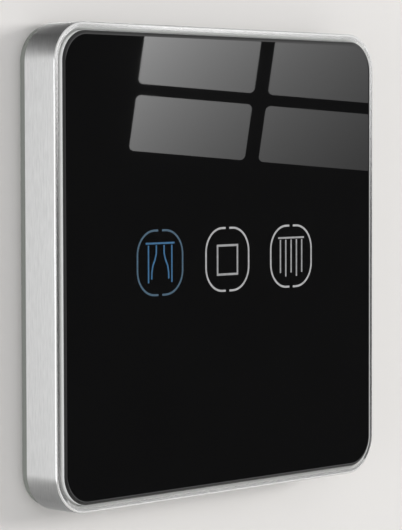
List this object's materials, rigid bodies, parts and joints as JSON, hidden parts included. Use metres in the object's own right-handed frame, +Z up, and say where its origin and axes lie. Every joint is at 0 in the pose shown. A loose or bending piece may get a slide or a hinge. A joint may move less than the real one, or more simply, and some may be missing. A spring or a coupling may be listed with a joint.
{
  "type": "smart curtain switch",
  "caption": "Square glass-faced touch wall switch for a curtain motor, with open, stop and close signs, a pull-off front panel and rear screw terminals.",
  "frame": {"origin": "centre of the two wall screws, on the wall plane", "axes": "+X to the right as seen from the room, +Y into the wall, +Z up"},
  "size_m": [0.086, 0.0362, 0.086],
  "materials": {
    "frame_metal": "fine brushed",
    "panel_glass": "black, glossy",
    "tape": "matt",
    "light_film": "matt",
    "carrier_plastic": "moulded",
    "flange_plastic": "moulded",
    "housing_plastic": "moulded",
    "screw_steel": "zinc plated",
    "spring_steel": "bright",
    "board": "solder mask",
    "board_dark": "black solder mask",
    "shield_plastic": "moulded white",
    "lamp": "clear",
    "chip": "epoxy",
    "can_steel": "tinned",
    "link_plastic": "moulded",
    "contact_brass": "bright",
    "relay_plastic": "moulded blue",
    "ferrite": "ferrite",
    "winding_tape": "polyester tape",
    "capacitor_sleeve": "shrink sleeve",
    "line_capacitor": "moulded",
    "fuse_body": "moulded",
    "varistor_coat": "epoxy dip",
    "terminal_plastic": "moulded green",
    "cage_steel": "zinc plated"
  },
  "bodies": {
    "base": {"mounting_frame": "flange_plastic", "catch_clips": "spring_steel", "rear_housing": "housing_plastic", "housing_screws": "screw_steel", "touch_board": "board_dark", "light_shield": "shield_plastic", "indicator_lamps": "lamp", "touch_spring_open": "spring_steel", "touch_spring_stop": "spring_steel", "touch_spring_close": "spring_steel", "touch_chip": "chip", "radio_board": "board", "radio_can": "can_steel", "link_header": "link_plastic", "link_socket": "link_plastic", "link_pins": "contact_brass", "power_board": "board", "relay_open": "relay_plastic", "relay_close": "relay_plastic", "transformer_core": "ferrite", "transformer_winding": "winding_tape", "bulk_capacitor": "capacitor_sleeve", "output_capacitor": "capacitor_sleeve", "line_capacitor": "line_capacitor", "fuse": "fuse_body", "varistor": "varistor_coat", "choke": "ferrite", "terminal_block_1": "terminal_plastic", "contact_bar_1": "contact_brass", "terminal_block_2": "terminal_plastic", "contact_bar_2": "contact_brass", "terminal_block_3": "terminal_plastic", "contact_bar_3": "contact_brass", "terminal_block_4": "terminal_plastic", "contact_bar_4": "contact_brass"},
    "front_panel": {"trim_frame": "frame_metal", "glass_panel": "panel_glass", "glass_tape": "tape", "icon_diffuser": "light_film", "panel_carrier": "carrier_plastic"},
    "clamp_screw_1": {"terminal_screw_1": "screw_steel"},
    "clamp_cage_1": {"terminal_cage_1": "cage_steel"},
    "clamp_screw_2": {"terminal_screw_2": "screw_steel"},
    "clamp_cage_2": {"terminal_cage_2": "cage_steel"},
    "clamp_screw_3": {"terminal_screw_3": "screw_steel"},
    "clamp_cage_3": {"terminal_cage_3": "cage_steel"},
    "clamp_screw_4": {"terminal_screw_4": "screw_steel"},
    "clamp_cage_4": {"terminal_cage_4": "cage_steel"}
  },
  "joints": [
    {"name": "panel_release", "type": "slide", "parent": "base", "child": "front_panel", "axis": [0, -1, 0], "range_m": [0, 0.025]},
    {"name": "screw_turn_1", "type": "hinge", "parent": "base", "child": "clamp_screw_1", "pos_m": [-0.0138, 0.0207, -0.0245], "axis": [0, -1, 0], "range_deg": [0, 1800]},
    {"name": "cage_rise_1", "type": "slide", "parent": "base", "child": "clamp_cage_1", "axis": [0, 1, 0], "range_m": [0, 0.0025]},
    {"name": "screw_turn_2", "type": "hinge", "parent": "base", "child": "clamp_screw_2", "pos_m": [-0.0046, 0.0207, -0.0245], "axis": [0, -1, 0], "range_deg": [0, 1800]},
    {"name": "cage_rise_2", "type": "slide", "parent": "base", "child": "clamp_cage_2", "axis": [0, 1, 0], "range_m": [0, 0.0025]},
    {"name": "screw_turn_3", "type": "hinge", "parent": "base", "child": "clamp_screw_3", "pos_m": [0.0046, 0.0207, -0.0245], "axis": [0, -1, 0], "range_deg": [0, 1800]},
    {"name": "cage_rise_3", "type": "slide", "parent": "base", "child": "clamp_cage_3", "axis": [0, 1, 0], "range_m": [0, 0.0025]},
    {"name": "screw_turn_4", "type": "hinge", "parent": "base", "child": "clamp_screw_4", "pos_m": [0.0138, 0.0207, -0.0245], "axis": [0, -1, 0], "range_deg": [0, 1800]},
    {"name": "cage_rise_4", "type": "slide", "parent": "base", "child": "clamp_cage_4", "axis": [0, 1, 0], "range_m": [0, 0.0025]}
  ],
  "couplings": [
    {"joint": "screw_turn_1", "follows": "cage_rise_1", "rad_per_m": 12566},
    {"joint": "screw_turn_2", "follows": "cage_rise_2", "rad_per_m": 12566},
    {"joint": "screw_turn_3", "follows": "cage_rise_3", "rad_per_m": 12566},
    {"joint": "screw_turn_4", "follows": "cage_rise_4", "rad_per_m": 12566}
  ]
}
